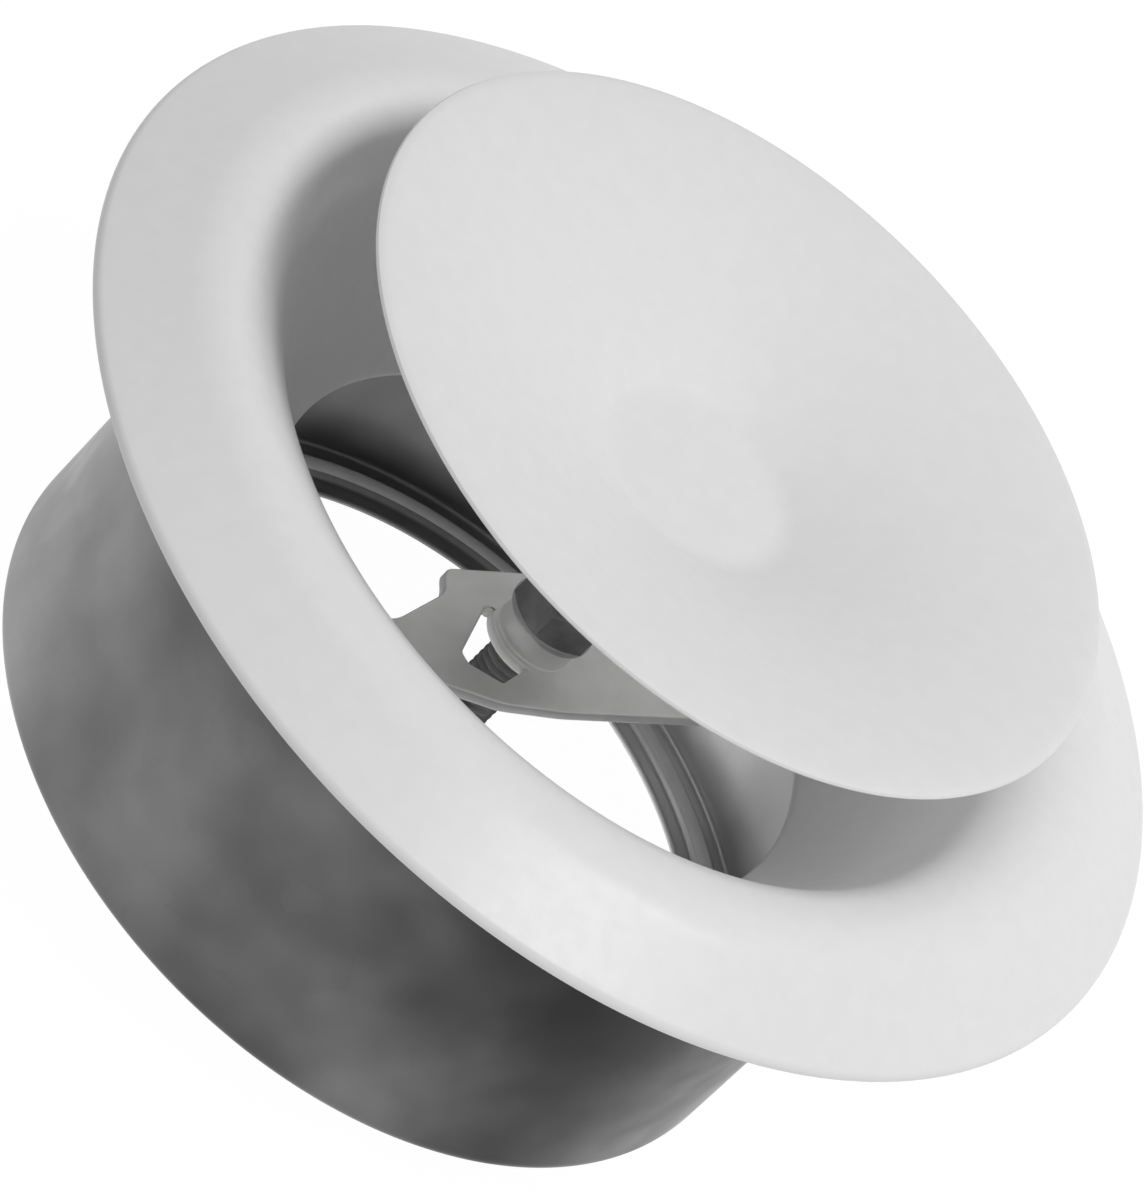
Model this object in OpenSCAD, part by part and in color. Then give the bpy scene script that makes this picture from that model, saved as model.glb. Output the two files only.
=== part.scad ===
// Extract air disc valve with mounting collar, nominal duct size 100 mm.
// Units are millimetres. Z is the valve's axis and points out of the face.
// The collar's rear rim stands on z = 0.

/* [Display] */
// Sub-part to draw

/* [Mounting collar] */
// Outside diameter of the spigot that enters the duct
collar_od = 99; // [97.5:0.25:99.5]
// Height of the wall plane above the rear rim
collar_depth = 48.6; // [46:0.2:60]
// Sheet thickness of the collar
collar_wall = 0.8; // [0.6:0.1:1]
// Width of the inward rim round the rear opening
rear_rim_w = 8; // [7.5:0.25:9]
// Width of the front flange
front_flange_w = 8.5; // [7.5:0.25:9.5]
// Screw hole diameter in the front flange
screw_hole_d = 4.2; // [3.2:0.2:4.6]

/* [Valve ring] */
// How far the ring reaches past the collar's flange
ring_lap = 10.5; // [9.5:0.25:12]
// Height of the crest above the wall
ring_crest = 6.8; // [6:0.1:7.4]
// Distance of the crest outside the collar's wall
crest_out = 5; // [4.5:0.1:5.5]
// Radius of the inward turn into the throat
throat_turn = 9.5; // [9:0.1:10]
// Slope of the throat wall, degrees from the wall plane
throat_slope = 59; // [58:0.5:61]
// Depth of the throat's rear edge behind the wall plane
throat_depth = 17.5; // [16:0.25:18]
// Sheet thickness of the ring
ring_wall = 1; // [0.8:0.1:1.1]

/* [Disc] */
// Distance of the disc's edge inside the crest
disc_inset = 7.5; // [7.2:0.1:8.5]
// Height of the disc's edge above the wall plane as it stands open
disc_open = 20.6; // [18:0.1:24]
// Depth of the dished centre below the edge
disc_dish = 9.6; // [7:0.1:10]
// Diameter of the flat centre
disc_flat_d = 23; // [20:0.5:28]
// Sheet thickness of the disc
disc_wall = 0.9; // [0.7:0.1:1]

/* [Spindle] */
// Thread's outside diameter
spindle_d = 6; // [5:0.5:6]
// Depth of the spindle's end behind the wall plane
spindle_reach = 40; // [39.5:0.5:44]
// Nut size across its flats
nut_flats = 10; // [8:0.5:10]
// Nut height
nut_h = 4.2; // [3:0.2:4.4]

/* [Bridge] */
// Direction of the bridge in plan, degrees
bridge_angle = 57; // [50:1:62]
// Width of the far arm and hub
strap_w = 18.6; // [17.4:0.2:19.2]
// Width of the near arm
near_w = 7.6; // [6.8:0.1:8.2]
// Sheet thickness of the bridge
strap_t = 1.5; // [1.2:0.1:1.6]
// Height of the drawn collar round the spindle
boss_h = 3.1; // [2.4:0.1:3.4]

/* [Hidden] */

// Smoothness of large, middling and small round shapes
fn_big = 80;
fn_hub = 48;
fn_small = 28;
// Radial clearance of the thread, and of a rivet in its hole
thread_gap = 0.05;
rivet_gap = 0.05;

collar_r = collar_od / 2;
collar_in = collar_r - collar_wall;
collar_flange_r = collar_r + front_flange_w;
screw_r = collar_r + front_flange_w / 2;
opening_r = collar_r - rear_rim_w;
bead_r = 1;
bead_at = opening_r + 3.7;
rim_turn = 1.6;

ring_r = collar_flange_r + ring_lap;
crest_r = collar_r + crest_out;
flank_r = 11.4;
edge_turn = 1.2;
edge_rise = 0.06;
// From the crest's arc centre to the edge turn's centre, and the slope of the flank between them
flank_run = [ring_r - edge_turn - crest_r, edge_rise - ring_crest + flank_r];
flank_a = atan2(flank_run[0], flank_run[1]) - acos((flank_r - edge_turn) / norm(flank_run));
edge_c = [ring_r - edge_turn, edge_rise];
turn_end = [crest_r - throat_turn * sin(throat_slope),
            ring_crest - throat_turn * (1 - cos(throat_slope))];
throat_r = turn_end[0] - (turn_end[1] + throat_depth) / tan(throat_slope);
rear_flange_r = throat_r + 6.4;
rivet_ring = throat_r + 3.95;
flange_back = -throat_depth - ring_wall;

disc_r = crest_r - disc_inset;
disc_flat = disc_flat_d / 2;
flat_z = disc_open - disc_dish;
hub_t = 1.6;
hub_r = 8;
hub_edge = 0.5;
hub_back = flat_z - disc_wall - hub_t;

spindle_r = spindle_d / 2;
hub_top = flange_back;
boss_r = spindle_r + 1.6;
washer_t = 0.8;
washer_r = spindle_r + 2.2;
washer_gap = 0.3;
washer_z = hub_top + boss_h;
nut_z = washer_z + washer_t;
nut_chamfer = [0.77, 0.55];
spindle_chamfer = 0.7;
stop_z = 2.5 - spindle_reach;
stop_t = 1;
stop_r = spindle_r + 2;
groove_r = spindle_r - 0.6;
stop_in = groove_r + thread_gap;

// Bridge: places along the strap from the spindle, and across it
strap_shift = 0.75;
near_shift = 2.4;
strap_left = strap_w / 2 - strap_shift;
strap_right = -strap_w / 2 - strap_shift;
near_left = near_w / 2 - near_shift;
near_right = -near_w / 2 - near_shift;
arm_end = throat_r + 5.9;
arm_corner = 3.2;
shoulder = [-8.8, -10.3];
shoulder_drop = 3.3;
neck = -19;
neck_start = -11;
neck_inset = 1.4;
// Window beside the spindle's collar, its corners listed round it
window_corners = [[-5.3, 3.6], [-11.7, -2.6], [-11.4, -4.1], [-7.6, -6.5], [-2, -3.8], [-3, 2.5]];

rivet_r = 1.5;
rivet_head_r = 2.1;
rivet_head_h = 0.9;
rivet_margin = 3.2;
far_rivet_a = asin((strap_w / 2 - rivet_margin) / rivet_ring);
far_middle_a = -asin(strap_shift / rivet_ring);
near_rivet_a = 180 + asin(near_shift / rivet_ring);
clip_angles = [220, 340, 100];
clip_w = 9;
clip_t = 0.6;
clip_reach = collar_in - 0.45;
clip_foot = throat_r + 1;
clip_bend = rear_flange_r + 0.4;
clip_bow = -throat_depth + 8;
clip_press = 1.4;
clip_tip = -4.6;

gasket_in = collar_flange_r + 1.5;
gasket_out = ring_r - 3.2;
gasket_top = 2.2;
gasket_gap = 0.25;

// Points along an arc about a centre, angles measured from +Z towards +R
function arc(c, r, a0, a1, n) =
    [for (i = [0:n]) let (a = a0 + (a1 - a0) * i / n) [c[0] + r * sin(a), c[1] + r * cos(a)]];

// The ring's section, moved a distance d into the sheet along its own normals
function ring_section(d) = concat(
    arc([crest_r, ring_crest - throat_turn], throat_turn - d, -throat_slope, 0, 7),
    arc([crest_r, ring_crest - flank_r], flank_r - d, 4, flank_a, 4),
    arc(edge_c, edge_turn - d, flank_a, 90, 4));

// Height of the ring's outer flank at radius r, a distance d into the sheet
function flank_at(r, d) =
    edge_c[1] + (edge_turn - d) / cos(flank_a) + (edge_c[0] - r) * tan(flank_a);

// Radius of the throat wall at height z, a distance d into the sheet
function throat_at(z, d) =
    turn_end[0] + d / sin(throat_slope) + (z - turn_end[1]) / tan(throat_slope);

function reversed(v) = [for (i = [len(v) - 1:-1:0]) v[i]];

// Height of the dish below the disc's edge, flat at the edge and steeper inwards
function dish(r) = disc_dish * pow((disc_r - r) / (disc_r - disc_flat), 1.7);

// Moves shapes drawn from the wall plane up to the row frame
module at_wall() {
    translate([0, 0, collar_depth])
        children();
}

// Pressed ring turned about the axis from a section in R and Z
module turned(points, smooth = fn_big) {
    rotate_extrude($fn = smooth)
        polygon(points);
}

// Galvanised collar: spigot, inward rear rim with a stiffening bead, front flange
module mounting_collar() {
    bead_end = acos(collar_wall / (bead_r + collar_wall));
    bead = arc([bead_at, 0], bead_r + collar_wall, -bead_end, bead_end, 6);
    groove = arc([bead_at, 0], bead_r, -90, 90, 5);
    outside = arc([collar_r - rim_turn, rim_turn], rim_turn, 180, 90, 4);
    inside = arc([collar_r - rim_turn, rim_turn], rim_turn - collar_wall, 90, 180, 4);
    top = collar_depth + collar_wall;
    section = concat(
        [[opening_r, 0]], groove, outside,
        [[collar_r, collar_depth], [collar_flange_r, collar_depth]],
        [[collar_flange_r, top], [collar_in, top]],
        inside, reversed(bead), [[opening_r, collar_wall]]);
    color("silver")
        difference() {
            turned(section);
            for (a = [0:90:270])
                rotate([0, 0, a + 45])
                    translate([screw_r, 0, collar_depth - collar_wall])
                        cylinder(d = screw_hole_d, h = collar_wall * 3, $fn = fn_small);
        }
}

// White ring: turned outer edge, crest, bell-mouthed throat and rear flange in one sheet
module valve_ring() {
    front = ring_section(0);
    back = ring_section(ring_wall);
    section = concat(
        [[throat_r, flange_back], [throat_r, -throat_depth]],
        front, [[ring_r, 0], [ring_r - ring_wall, 0]], reversed(back),
        [[throat_at(-throat_depth, ring_wall), -throat_depth]],
        [[rear_flange_r, -throat_depth], [rear_flange_r, flange_back]]);
    color("white")
        at_wall()
            difference() {
                turned(section);
                far_rivets()
                    rivet_hole();
                near_rivet()
                    rivet_hole();
                for (a = clip_angles)
                    clip_rivet_at(a)
                        rivet_hole();
            }
}

// Foam seal inside the ring, against the wall
module flange_gasket() {
    low = flank_at(gasket_out, ring_wall) - gasket_gap;
    slope = (gasket_top - low) / tan(flank_a);
    section = [[gasket_in, 0], [gasket_out, 0], [gasket_out, low],
               [gasket_out - slope, gasket_top], [gasket_in, gasket_top]];
    color("dimgray")
        at_wall()
            turned(section);
}

// Dished disc with a flat recessed centre
module valve_disc() {
    steps = 14;
    radii = [for (i = [0:steps]) disc_flat + (disc_r - disc_flat) * i / steps];
    front = [for (r = radii) [r, disc_open - dish(r)]];
    back = [for (r = radii) [r, disc_open - dish(r) - disc_wall]];
    section = concat([[0, flat_z - disc_wall], [0, flat_z]], front, reversed(back));
    color("white")
        at_wall()
            turned(section);
}

// Round flange welded behind the disc, which carries the spindle
module disc_hub() {
    color("gray")
        at_wall()
            difference() {
                turned([[0, hub_back], [0, hub_back + hub_t], [hub_r, hub_back + hub_t],
                        [hub_r, hub_back + hub_edge], [hub_r - hub_edge, hub_back]], fn_hub);
                translate([0, 0, hub_back - hub_t])
                    cylinder(r = spindle_r, h = hub_t * 3, $fn = fn_small);
            }
}

// Threaded spindle with a groove for the end stop
module spindle() {
    top = hub_back + hub_t;
    end = -spindle_reach;
    color("dimgray")
        at_wall()
            turned([[0, end], [spindle_r - spindle_chamfer, end], [spindle_r, end + spindle_chamfer],
                    [spindle_r, stop_z], [groove_r, stop_z], [groove_r, stop_z + stop_t],
                    [spindle_r, stop_z + stop_t], [spindle_r, top], [0, top]], fn_small);
}

// Retaining ring snapped into the spindle's groove
module end_stop() {
    color("gray")
        at_wall()
            turned([[stop_in, stop_z], [stop_r, stop_z], [stop_r, stop_z + stop_t],
                    [stop_in, stop_z + stop_t]], fn_small);
}

// Plain washer on the bridge's drawn collar
module lock_washer() {
    hole = spindle_r + washer_gap;
    top = washer_z + washer_t;
    color("silver")
        at_wall()
            turned([[hole, washer_z], [washer_r, washer_z], [washer_r, top], [hole, top]], fn_small);
}

// Hexagon nut with chamfered corners that locks the disc's setting
module lock_nut() {
    corner = nut_flats / 2 / cos(30);
    face = corner - nut_chamfer[0];
    top = nut_z + nut_h;
    color("dimgray")
        at_wall()
            difference() {
                intersection() {
                    translate([0, 0, nut_z])
                        rotate([0, 0, 30])
                            cylinder(r = corner, h = nut_h, $fn = 6);
                    turned([[0, nut_z], [face, nut_z], [corner, nut_z + nut_chamfer[1]],
                            [corner, top - nut_chamfer[1]], [face, top], [0, top]], fn_hub);
                }
                translate([0, 0, nut_z - washer_t])
                    cylinder(r = spindle_r + thread_gap, h = nut_h + washer_t * 2, $fn = fn_small);
            }
}

// Bridge: wide far arm and hub, narrow near arm, a window, and a collar drawn up round the spindle
module bridge() {
    under = hub_top - strap_t;
    color("silver")
        at_wall()
            rotate([0, 0, bridge_angle])
                difference() {
                    union() {
                        translate([0, 0, under])
                            linear_extrude(strap_t)
                                difference() {
                                    strap_outline();
                                    polygon(window_corners);
                                }
                        translate([0, 0, under])
                            cylinder(r = boss_r, h = strap_t + boss_h, $fn = fn_hub);
                    }
                    translate([0, 0, under - strap_t])
                        cylinder(r = spindle_r + thread_gap, h = strap_t * 3 + boss_h, $fn = fn_small);
                    rotate([0, 0, -bridge_angle]) {
                        far_rivets()
                            rivet_hole();
                        near_rivet()
                            rivet_hole();
                    }
                }
}

// Outline of the strap in plan, far end at +X
module strap_outline() {
    polygon([[arm_end, strap_left - arm_corner], [arm_end - arm_corner, strap_left],
             [shoulder[0], strap_left], [shoulder[1], strap_left - shoulder_drop],
             [neck, near_left], [-arm_end, near_left], [-arm_end, near_right],
             [neck, near_right], [neck_start, strap_right + neck_inset],
             [shoulder[0], strap_right + neck_inset / 2], [0, strap_right],
             [arm_end - arm_corner, strap_right], [arm_end, strap_right + arm_corner]]);
}

// Places a child at both rivets of the far arm
module far_rivets() {
    for (s = [-1, 1])
        far_rivet(s)
            children();
}

// One rivet of the far arm, s = 1 on its left as seen from the hub
module far_rivet(s) {
    rotate([0, 0, bridge_angle + far_middle_a + s * far_rivet_a])
        translate([rivet_ring, 0, 0])
            children();
}

module near_rivet() {
    rotate([0, 0, bridge_angle + near_rivet_a])
        translate([rivet_ring, 0, 0])
            children();
}

module clip_rivet_at(a) {
    rotate([0, 0, a])
        translate([rivet_ring, 0, 0])
            children();
}

// Clearance hole for one rivet
module rivet_hole() {
    translate([0, 0, flange_back - strap_t * 2])
        cylinder(r = rivet_r + rivet_gap, h = strap_t * 4, $fn = fn_small);
}

// Rivet with a low domed head each side, gripping a sheet of thickness t under the flange
module rivet_shape(t) {
    top = -throat_depth;
    low = flange_back - t;
    head = [for (i = [0:3]) [rivet_head_r * cos(i * 22.5), rivet_head_h * sin(i * 22.5)]];
    upper = [for (p = head) [p[0], top + p[1]]];
    lower = [for (p = head) [p[0], low - p[1]]];
    color("lightgray")
        turned(concat([[0, low - rivet_head_h]], reversed(lower), [[rivet_r, low], [rivet_r, top]],
                      upper, [[0, top + rivet_head_h]]), fn_small);
}

module bridge_rivet_far_left() {
    at_wall()
        far_rivet(1)
            rivet_shape(strap_t);
}

module bridge_rivet_far_right() {
    at_wall()
        far_rivet(-1)
            rivet_shape(strap_t);
}

module bridge_rivet_near() {
    at_wall()
        near_rivet()
            rivet_shape(strap_t);
}

// Spring clip: foot under the flange, then a bowed leaf that presses on the collar
module clip_shape() {
    under = flange_back - clip_t;
    tip = throat_at(clip_tip, ring_wall) + 0.8;
    inner = clip_reach - clip_t;
    translate([0, clip_w / 2, 0])
        rotate([90, 0, 0])
            linear_extrude(clip_w)
                polygon([[clip_foot, under], [clip_bend + clip_t, under], [clip_reach, clip_bow - clip_press],
                         [clip_reach, clip_bow + clip_press], [tip + clip_t, clip_tip], [tip, clip_tip],
                         [inner, clip_bow + clip_press - 0.2], [inner, clip_bow - clip_press + 0.2],
                         [clip_bend, flange_back + clip_t], [clip_bend, flange_back],
                         [clip_foot, flange_back]]);
}

module clip_at(a) {
    color("silver")
        at_wall()
            difference() {
                rotate([0, 0, a])
                    clip_shape();
                clip_rivet_at(a)
                    rivet_hole();
            }
}

module clip_left() {
    clip_at(clip_angles[0]);
}

module clip_right() {
    clip_at(clip_angles[1]);
}

module clip_far() {
    clip_at(clip_angles[2]);
}

module clip_rivet_left() {
    at_wall()
        clip_rivet_at(clip_angles[0])
            rivet_shape(clip_t);
}

module clip_rivet_right() {
    at_wall()
        clip_rivet_at(clip_angles[1])
            rivet_shape(clip_t);
}

module clip_rivet_far() {
    at_wall()
        clip_rivet_at(clip_angles[2])
            rivet_shape(clip_t);
}

mounting_collar();
valve_ring();
flange_gasket();
valve_disc();
disc_hub();
spindle();
lock_washer();
lock_nut();
end_stop();
bridge();
bridge_rivet_far_left();
bridge_rivet_far_right();
bridge_rivet_near();
clip_left();
clip_right();
clip_far();
clip_rivet_left();
clip_rivet_right();
clip_rivet_far();
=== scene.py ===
"""Dresses the 100 mm disc valve: finishes, smooth pressed shapes, thread, light and camera.

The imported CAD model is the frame. Everything is in metres in the row frame: the
valve's axis is Z, and the collar's rear rim stands on z = 0.
"""

import logging
import math
from dataclasses import dataclass
from enum import Enum

import bmesh
import bpy
import numpy as np
from mathutils import Matrix, Vector

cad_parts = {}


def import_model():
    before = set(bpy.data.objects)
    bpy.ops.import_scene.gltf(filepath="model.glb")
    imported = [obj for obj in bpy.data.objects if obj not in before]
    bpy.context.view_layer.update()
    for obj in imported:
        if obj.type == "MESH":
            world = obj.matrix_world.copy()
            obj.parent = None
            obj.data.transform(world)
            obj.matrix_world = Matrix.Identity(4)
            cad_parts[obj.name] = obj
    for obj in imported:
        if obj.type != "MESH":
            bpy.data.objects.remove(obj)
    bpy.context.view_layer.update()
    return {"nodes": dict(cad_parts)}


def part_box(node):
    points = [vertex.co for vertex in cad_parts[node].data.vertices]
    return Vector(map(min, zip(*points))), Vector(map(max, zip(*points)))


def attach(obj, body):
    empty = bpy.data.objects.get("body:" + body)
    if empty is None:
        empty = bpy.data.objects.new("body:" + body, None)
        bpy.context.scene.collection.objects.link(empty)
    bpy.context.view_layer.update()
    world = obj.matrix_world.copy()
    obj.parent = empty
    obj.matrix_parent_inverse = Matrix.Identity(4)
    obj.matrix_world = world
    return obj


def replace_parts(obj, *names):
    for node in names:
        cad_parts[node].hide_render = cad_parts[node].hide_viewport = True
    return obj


logging.basicConfig(level=logging.INFO, format="%(message)s")
log = logging.getLogger("disc_valve")

MM = 0.001
TURN = 2 * math.pi
# Where a flat cap's rim ends, in radii of the rounded edge beside it
FLAT_RIM = 1.25
# Edges sharper than this stay sharp in the shading
CREASE_DEG = 40.0
# Roughness of the noise in every pattern, and the part of its range that is used
NOISE_ROUGHNESS = 0.55
NOISE_LOW, NOISE_HIGH = 0.3, 0.7
# Width of the patches in the roughness, as a share of those in the colour
WORN_WIDTH = 0.6
WHITE = (1.0, 1.0, 1.0, 1.0)
IN_PLACE = Matrix.Identity(4)
# Points nearer than this become one point, in metres
MERGE = 1e-7

# A shader's tree and sockets, what can feed a socket, and a surface's points and quads
Tree = bpy.types.NodeTree
Socket = bpy.types.NodeSocket
Value = float | tuple[float, ...] | bpy.types.NodeSocket
Surface = tuple[np.ndarray, np.ndarray]


class Body(Enum):
    """The CAD bodies that the pieces ride on."""

    COLLAR = "collar"
    INSERT = "insert"
    STOP = "stop"
    DISC = "disc"
    WASHER = "washer"
    NUT = "nut"


class Slot(Enum):
    """Names of the material slots."""

    GALVANISED = "galvanised"
    WHITE_RING = "white_coat"
    WHITE_DISC = "white_coat_disc"
    FOAM = "foam"
    PLATED = "plated"
    DARK_THREAD = "dark_thread"
    BRIDGE_SHEET = "bridge_sheet"
    RIVET = "rivet_metal"
    SPRING = "spring_steel"


def linear(colour: str) -> tuple[float, float, float, float]:
    """Turn an sRGB hex colour into linear RGBA.

    Args:
        colour: Six hex digits with a leading #.

    Returns:
        Red, green, blue and an alpha of 1.
    """
    parts = [int(colour[i : i + 2], 16) / 255 for i in (1, 3, 5)]
    low = [c / 12.92 if c <= 0.04045 else ((c + 0.055) / 1.055) ** 2.4 for c in parts]
    return (low[0], low[1], low[2], 1.0)


def add(tree: Tree, kind: str, links: dict | None = None, **settings: str) -> bpy.types.Node:
    """Add one shader node.

    Args:
        tree: The node tree it goes into.
        kind: Blender's node type.
        links: Input socket to a value or to the socket that feeds it.
        **settings: Attributes set on the node.

    Returns:
        The new node.
    """
    made = tree.nodes.new(kind)
    for name, value in settings.items():
        setattr(made, name, value)
    for key, value in (links or {}).items():
        if isinstance(value, Socket):
            tree.links.new(value, made.inputs[key])
        else:
            made.inputs[key].default_value = value
    return made


def calc(tree: Tree, operation: str, *values: Value) -> Socket:
    """The result of one sum on sockets and numbers."""
    return add(tree, "ShaderNodeMath", dict(enumerate(values)), operation=operation).outputs[0]


def mixed(tree: Tree, share: Value, first: Value, second: Value, blend: str = "MIX") -> Socket:
    """Two colours mixed, where share is the weight of the second."""
    links = {0: share, 6: first, 7: second}
    return add(tree, "ShaderNodeMix", links, data_type="RGBA", blend_type=blend).outputs[2]


# Finishes


@dataclass(frozen=True)
class Finish:
    """What every finish shares: a name, two close colours and a surface texture.

    Attributes:
        name: The material's name.
        colour: Main sRGB colour.
        shade: Second sRGB colour, in soft patches over the first.
        metallic: 1 for bare metal.
        roughness: Mean roughness.
        roughness_swing: How far the patches move the roughness each way.
        patch_mm: Width of a soft patch.
        grain_mm: Width of the fine surface grain.
        grain_depth_mm: Height of the fine surface grain.
        stretch: Length of the grain along local X, as on rolled strip.
        turn_deg: Direction of that X about the valve's axis.
        specular: Strength of the clear reflection on a coat.
    """

    name: str
    colour: str
    shade: str
    metallic: float
    roughness: float
    roughness_swing: float
    patch_mm: float
    grain_mm: float
    grain_depth_mm: float
    stretch: float = 1.0
    turn_deg: float = 0.0
    specular: float = 0.5

    def pattern(self, tree: Tree, width_mm: float, detail: float, along: float) -> bpy.types.Node:
        """Noise on Object coordinates whose features are width_mm wide.

        Args:
            tree: The node tree.
            width_mm: Real width of one feature.
            detail: Octaves of finer noise.
            along: Stretch along the finish's own X.

        Returns:
            The noise node.
        """
        place = add(tree, "ShaderNodeTexCoord").outputs["Object"]
        turn = {"Vector": place, "Rotation": (0, 0, -math.radians(self.turn_deg))}
        spun = add(tree, "ShaderNodeMapping", turn).outputs[0]
        scaled = add(tree, "ShaderNodeMapping", {"Vector": spun, "Scale": (1 / along, 1, 1)})
        settings = {"Scale": 1 / (width_mm * MM), "Detail": detail, "Roughness": NOISE_ROUGHNESS}
        return add(tree, "ShaderNodeTexNoise", {"Vector": scaled.outputs[0], **settings})

    def ramp(self, tree: Tree, source: Socket, low: float, high: float) -> bpy.types.Node:
        """Map the used part of the noise onto low to high, smoothly."""
        limits = {"Value": source, 1: NOISE_LOW, 2: NOISE_HIGH, 3: low, 4: high}
        return add(tree, "ShaderNodeMapRange", limits, interpolation_type="SMOOTHSTEP")

    def tint(self, tree: Tree) -> Value:
        """The two colours mixed by the soft patches, or the one colour of an even coat.

        Args:
            tree: The node tree.

        Returns:
            The colour's socket, or the colour itself.
        """
        if self.shade == self.colour:
            return linear(self.colour)
        patches = self.pattern(tree, self.patch_mm, 3.0, 1.0)
        share = self.ramp(tree, patches.outputs[0], 0.0, 1.0)
        return mixed(tree, share.outputs[0], linear(self.colour), linear(self.shade))

    def metal(self, tree: Tree) -> Value:
        """How metallic the surface is."""
        return self.metallic

    def relief(self, tree: Tree) -> Socket:
        """Bump from the fine grain, with its height in real millimetres.

        Args:
            tree: The node tree.

        Returns:
            The normal's socket.
        """
        grain = self.pattern(tree, self.grain_mm, 2.0, self.stretch).outputs[0]
        height = {"Height": grain, "Strength": 1.0, "Distance": self.grain_depth_mm * MM}
        return add(tree, "ShaderNodeBump", height).outputs[0]

    def material(self) -> bpy.types.Material:
        """The finish as a Blender material, made once and then shared."""
        known = bpy.data.materials.get(self.name)
        if known:
            return known
        made = bpy.data.materials.new(self.name)
        made.use_nodes = True
        tree = made.node_tree
        tree.nodes.clear()
        rough = self.roughness
        if self.roughness_swing:
            worn = self.pattern(tree, self.patch_mm * WORN_WIDTH, 2.0, self.stretch)
            low, high = self.roughness - self.roughness_swing, self.roughness + self.roughness_swing
            rough = self.ramp(tree, worn.outputs[0], low, high).outputs[0]
        inputs = {
            "Base Color": self.tint(tree),
            "Metallic": self.metal(tree),
            "Specular IOR Level": self.specular,
            "Roughness": rough,
            "Normal": self.relief(tree),
        }
        shader = add(tree, "ShaderNodeBsdfPrincipled", inputs)
        add(tree, "ShaderNodeOutputMaterial", {0: shader.outputs[0]})
        made.diffuse_color = linear(self.colour)
        return made


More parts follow.
